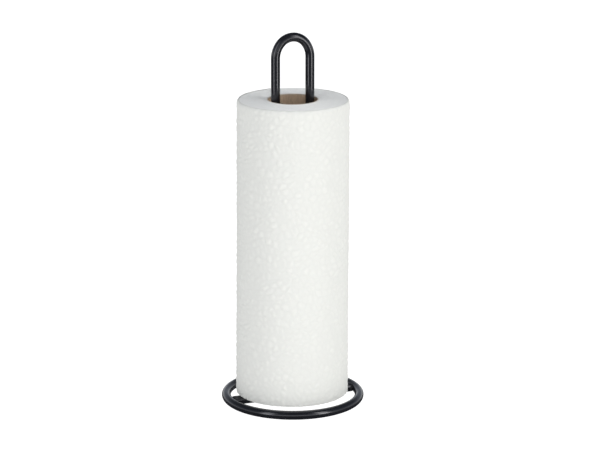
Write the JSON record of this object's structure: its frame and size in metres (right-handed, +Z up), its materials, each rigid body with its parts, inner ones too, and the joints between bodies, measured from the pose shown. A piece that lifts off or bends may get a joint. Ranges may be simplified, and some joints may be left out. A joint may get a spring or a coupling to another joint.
{
  "type": "paper towel holder",
  "caption": "Free-standing holder of bent round bar: a base ring with a crossbar and a hairpin post with a carrying loop, and a roll of kitchen towel that spins on the post and lifts off.",
  "frame": {"origin": "centre of the base ring, on the table it stands on", "axes": "+Z up along the post and the roll's axis, +X along the crossbar and across the post's two legs, +Y square to them"},
  "size_m": [0.1314, 0.1314, 0.3447],
  "materials": {
    "coated_bar": "satin",
    "coated_weld": "satin",
    "core_board": "matte",
    "wound_towel": "matte",
    "towel_sheet": "matte"
  },
  "bodies": {
    "stand": {"base_ring": "coated_bar", "base_ring_weld": "coated_weld", "crossbar": "coated_bar", "crossbar_weld_left": "coated_weld", "crossbar_weld_right": "coated_weld", "post_loop": "coated_bar", "post_weld_left": "coated_weld", "post_weld_right": "coated_weld"},
    "roll_core": {"core_inner_ply": "core_board"},
    "towel_roll": {"core_outer_ply": "core_board", "wound_paper": "wound_towel", "outer_sheet": "towel_sheet"}
  },
  "joints": [
    {"name": "roll_lift", "type": "slide", "parent": "stand", "child": "roll_core", "axis": [0, 0, 1], "range_m": [0, 0.345]},
    {"name": "roll_spin", "type": "hinge", "parent": "roll_core", "child": "towel_roll", "pos_m": [0, 0, 0.1462], "axis": [0, 0, 1], "continuous": true}
  ]
}
